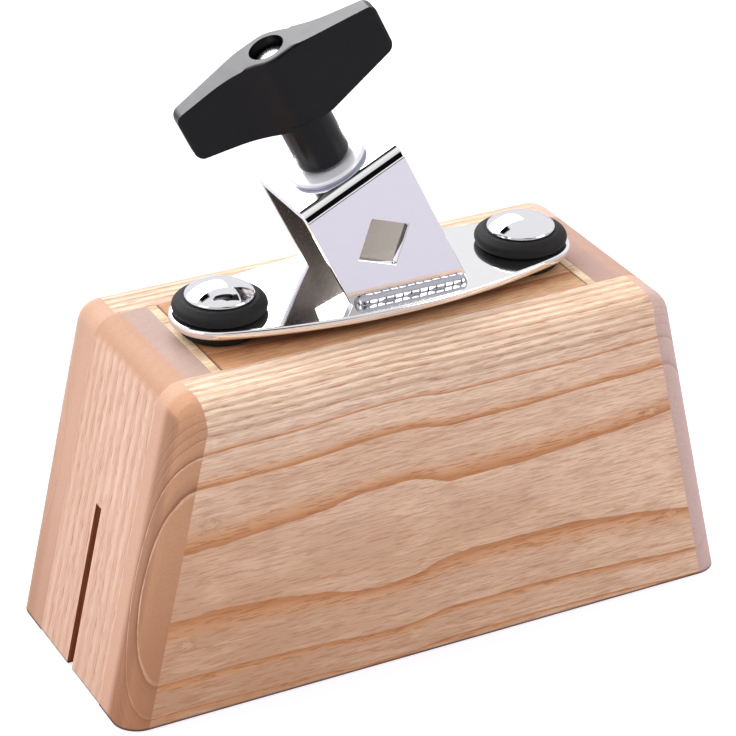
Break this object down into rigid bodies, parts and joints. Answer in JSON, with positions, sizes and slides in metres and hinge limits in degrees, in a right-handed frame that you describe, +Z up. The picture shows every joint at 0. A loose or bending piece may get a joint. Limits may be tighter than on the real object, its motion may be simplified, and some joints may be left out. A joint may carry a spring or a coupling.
{
  "type": "wooden percussion block with rod clamp",
  "caption": "Hollow tapered wooden block for striking, slit through its ends, with a tilted screw clamp on a rubber-mounted plate that grips an upright rod.",
  "frame": {"origin": "middle of the block's underside", "axes": "+X along the block, away from the side the clamp leans to; +Y to the back; +Z up"},
  "size_m": [0.178, 0.072, 0.1706],
  "materials": {
    "ash_face": "clear satin over open-grained ash, long grain",
    "ash_end": "clear satin over ash, upright grain with end grain on top",
    "ash_top": "clear satin over darker ash",
    "pale_wood": "clear satin over pale strip wood",
    "wood_filler": "sanded filler",
    "zinc_steel": "zinc plated",
    "bright_steel": "machined",
    "chrome_plate": "polished chrome plating over stamped sheet",
    "chrome_dome": "polished chrome",
    "black_rubber": "matte moulded",
    "black_plastic": "moulded, satin gloss"
  },
  "bodies": {
    "block": {"front_board": "ash_face", "back_board": "ash_face", "left_end_block": "ash_end", "right_end_block": "ash_end", "top_board": "ash_top", "left_strip": "pale_wood", "right_strip": "pale_wood", "front_bottom_rail": "ash_top", "back_bottom_rail": "ash_top", "board_nails": "zinc_steel", "nail_fillers": "wood_filler", "mount_plate": "chrome_plate", "clamp_strap": "chrome_plate", "weld_beads": "chrome_plate", "clamp_nut": "chrome_plate", "left_grommet": "black_rubber", "right_grommet": "black_rubber", "left_sleeve": "zinc_steel", "right_sleeve": "zinc_steel", "left_dome_bolt": "chrome_dome", "right_dome_bolt": "chrome_dome", "left_tee_nut": "zinc_steel", "right_tee_nut": "zinc_steel"},
    "stud": {"wing_stud": "bright_steel"},
    "handle": {"wing_handle": "black_plastic"}
  },
  "joints": [
    {"name": "stud_travel", "type": "slide", "parent": "block", "child": "stud", "axis": [-0.4384, 0, 0.8988], "range_m": [-0.00046, 0.00702]},
    {"name": "handle_turn", "type": "hinge", "parent": "stud", "child": "handle", "pos_m": [-0.01286, 0, 0.12795], "axis": [-0.4384, 0, 0.8988], "range_deg": [-128, 2016]}
  ],
  "couplings": [
    {"joint": "stud_travel", "follows": "handle_turn", "m_per_rad": 0.00019894}
  ]
}
